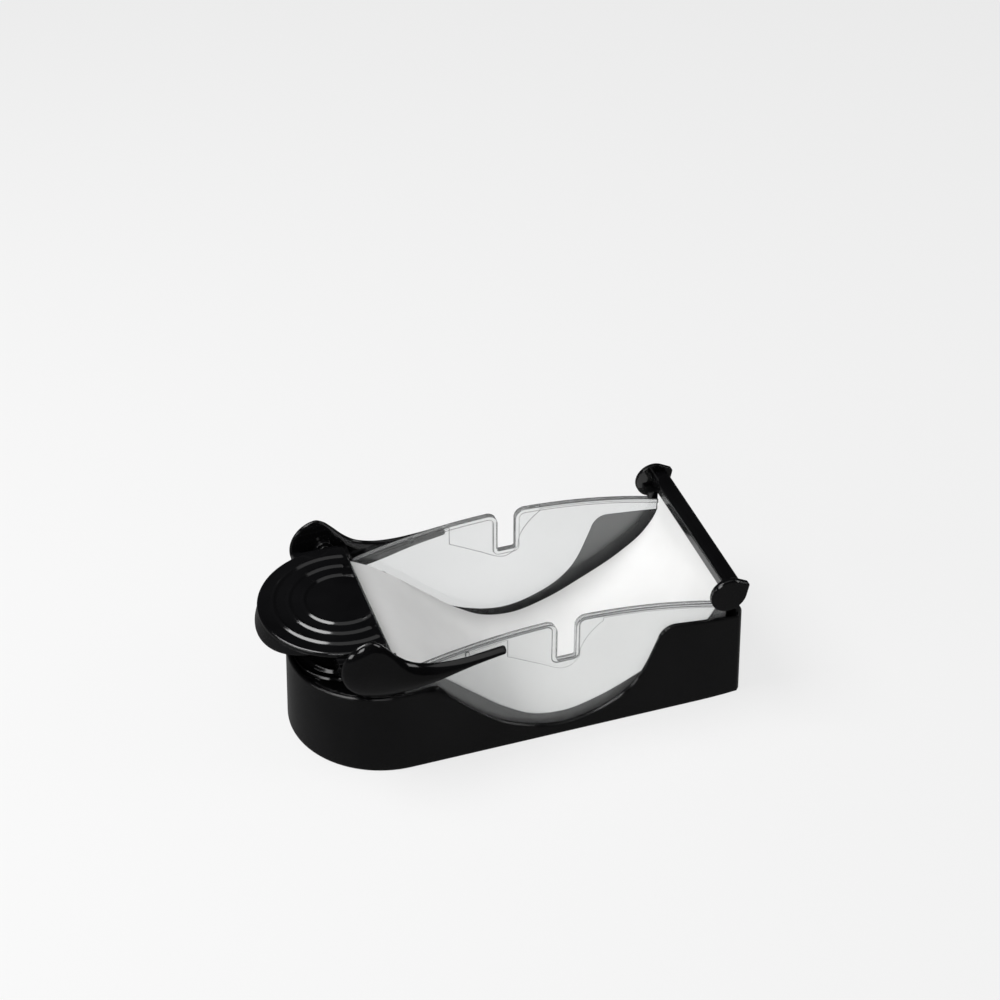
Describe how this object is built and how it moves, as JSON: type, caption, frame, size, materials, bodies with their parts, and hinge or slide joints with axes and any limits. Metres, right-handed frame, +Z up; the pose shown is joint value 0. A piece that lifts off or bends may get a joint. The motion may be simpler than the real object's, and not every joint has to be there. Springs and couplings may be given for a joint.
{
  "type": "sushi_roll_press",
  "caption": "Countertop press that forms rice rolls on a film trough between clear cheeks, with a hinged grip lever and a roller bar that travels on the cheeks' rims",
  "frame": {"origin": "middle of the outer box, on the table", "axes": "X along the press, towards its straight end; Y across it; Z up"},
  "size_m": [0.2898, 0.1336, 0.1054],
  "materials": {
    "black": "glossy black moulded plastic",
    "clear": "clear moulded plastic",
    "film_white": "matte white flexible film",
    "steel": "plain steel screws",
    "pin_black": "black plastic pin",
    "rubber_grey": "dark soft rubber"
  },
  "bodies": {
    "base": {"base_shell": "black", "grip_deck": "black", "base_screws": "steel", "foot_1": "rubber_grey", "foot_2": "rubber_grey", "foot_3": "rubber_grey", "foot_4": "rubber_grey", "film": "film_white", "clear_cheek_front": "clear", "clear_cheek_back": "clear"},
    "lever": {"lever_yoke": "black", "paddle_cap": "black", "lever_arm_front": "black", "lever_arm_back": "black", "pivot_pin_front": "pin_black", "pivot_pin_back": "pin_black", "film_clamp": "clear"},
    "bar": {"roller_bar": "black", "bar_flange_front": "black", "bar_flange_back": "black"}
  },
  "joints": [
    {"name": "lever_hinge", "type": "hinge", "parent": "base", "child": "lever", "pos_m": [-0.08845, 0, 0.0853], "axis": [0, -1, 0], "range_deg": [0, 30]},
    {"name": "bar_travel", "type": "hinge", "parent": "base", "child": "bar", "pos_m": [0.02905, 0, -0.2987], "axis": [0, -1, 0], "range_deg": [0, 18]}
  ]
}
